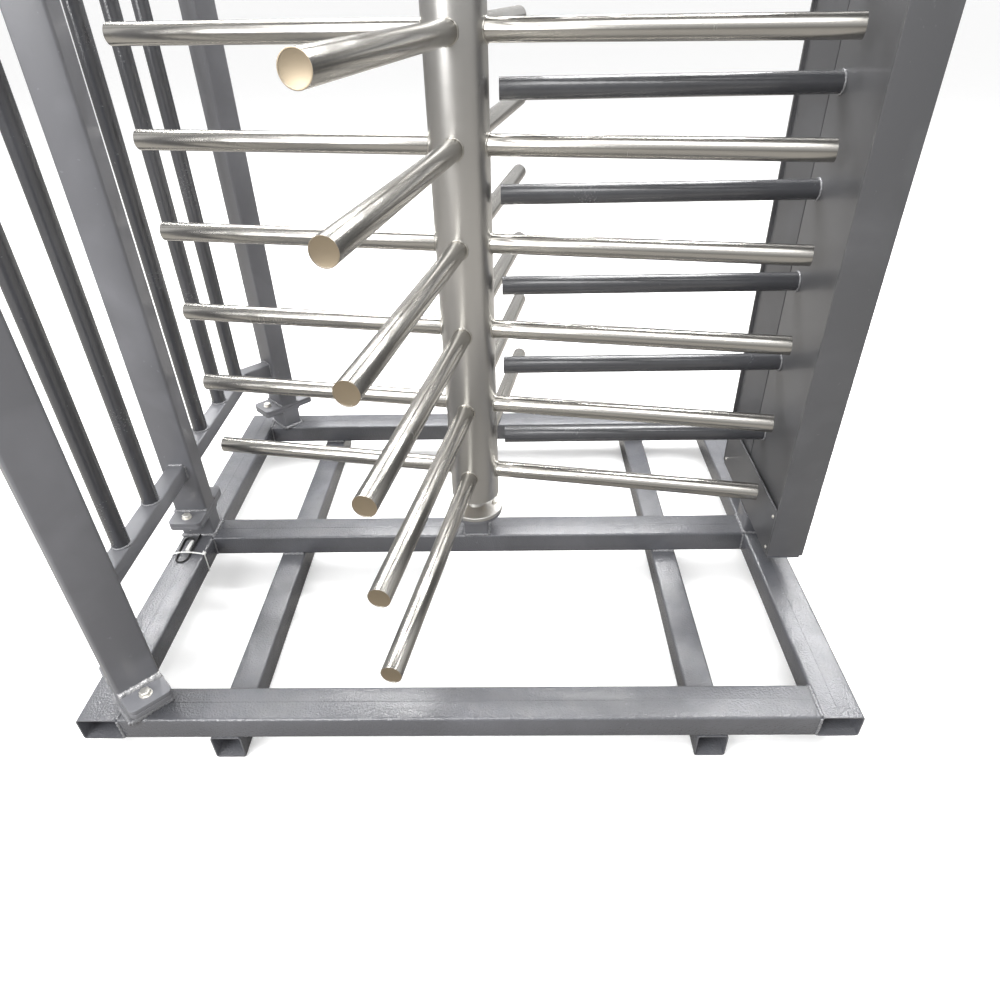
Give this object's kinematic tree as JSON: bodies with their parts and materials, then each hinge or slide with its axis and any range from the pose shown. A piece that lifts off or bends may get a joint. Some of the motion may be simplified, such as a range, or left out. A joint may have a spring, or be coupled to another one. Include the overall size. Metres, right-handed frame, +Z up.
{
  "type": "full-height visitor counter turnstile",
  "caption": "Full-height turnstile: a stainless rotor with four wings of round arms turns between a comb column and a barred barrier on a welded skid base.",
  "frame": {"origin": "on the rotor axis at floor level, under the skid tubes", "axes": "+X across the lane towards the comb column, +Y from the front to the rear, +Z up along the rotor axis"},
  "size_m": [1.5015, 1.2976, 2.29],
  "materials": {
    "grey_paint": "satin powder coat with fine orange peel",
    "gloss_grey": "glossy powder coat",
    "stainless": "brushed stainless tube",
    "zinc": "bright zinc plate",
    "bearing_steel": "ground steel",
    "bronze": "sintered bronze",
    "black_plastic": "black PVC and moulded plastic",
    "white_plastic": "white nylon"
  },
  "bodies": {
    "frame": {"base_rail_left": "grey_paint", "base_rail_right": "grey_paint", "base_cross_front": "grey_paint", "base_cross_middle": "grey_paint", "base_cross_rear": "grey_paint", "skid_left": "grey_paint", "skid_right": "grey_paint", "foot_stub_front": "grey_paint", "barrier_post_front": "grey_paint", "foot_stub_middle": "grey_paint", "barrier_post_middle": "grey_paint", "foot_stub_rear": "grey_paint", "barrier_post_rear": "grey_paint", "barrier_rail_lower_front": "grey_paint", "barrier_rail_upper_front": "grey_paint", "barrier_rail_lower_rear": "grey_paint", "barrier_rail_upper_rear": "grey_paint", "barrier_bar_1": "gloss_grey", "barrier_bar_2": "gloss_grey", "barrier_bar_3": "gloss_grey", "barrier_bar_4": "gloss_grey", "barrier_bar_5": "gloss_grey", "barrier_bar_6": "gloss_grey", "column_stub": "grey_paint", "column_shell": "grey_paint", "column_skirt": "grey_paint", "comb_bar_1": "gloss_grey", "comb_bar_2": "gloss_grey", "comb_bar_3": "gloss_grey", "comb_bar_4": "gloss_grey", "comb_bar_5": "gloss_grey", "comb_bar_6": "gloss_grey", "comb_bar_7": "gloss_grey", "comb_bar_8": "gloss_grey", "comb_bar_9": "gloss_grey", "pivot_stub": "grey_paint", "pivot_flange": "stainless", "head_housing": "grey_paint", "top_bearing": "bearing_steel", "solenoid_body": "black_plastic", "sensor_lead": "black_plastic", "lead_connector": "white_plastic", "cable_tie": "white_plastic"},
    "rotor": {"rotor_column": "stainless", "pivot_bush": "bronze", "index_disc": "zinc", "arm_cross_1": "stainless", "arm_cross_2": "stainless", "arm_cross_3": "stainless", "arm_cross_4": "stainless", "arm_cross_5": "stainless", "arm_cross_6": "stainless", "arm_cross_7": "stainless", "arm_cross_8": "stainless", "arm_cross_9": "stainless", "arm_cross_10": "stainless"},
    "lock_pawl": {"lock_pawl": "bearing_steel"},
    "solenoid_plunger": {"solenoid_plunger": "bearing_steel"},
    "head_door": {"head_door": "grey_paint"},
    "door_lock": {"door_lock": "zinc"}
  },
  "joints": [
    {"name": "rotor_spin", "type": "hinge", "parent": "frame", "child": "rotor", "pos_m": [0, 0, 0.2], "axis": [0, 0, 1], "continuous": true},
    {"name": "pawl_turn", "type": "hinge", "parent": "frame", "child": "lock_pawl", "pos_m": [0.09, -0.06, 2.111], "axis": [0, 0, 1], "range_deg": [0, 14], "stiffness_Nm_per_rad": 0.4},
    {"name": "plunger_slide", "type": "slide", "parent": "frame", "child": "solenoid_plunger", "axis": [-1, 0, 0], "range_m": [0, 0.0104]},
    {"name": "door_hinge", "type": "hinge", "parent": "frame", "child": "head_door", "pos_m": [0, -0.2063, 2.286], "axis": [-1, 0, 0], "range_deg": [0, 100]},
    {"name": "door_lock_turn", "type": "hinge", "parent": "head_door", "child": "door_lock", "pos_m": [0.38, -0.2, 2.085], "axis": [0, 1, 0], "range_deg": [0, 90]}
  ],
  "couplings": [
    {"joint": "plunger_slide", "follows": "pawl_turn", "m_per_rad": 0.042}
  ]
}
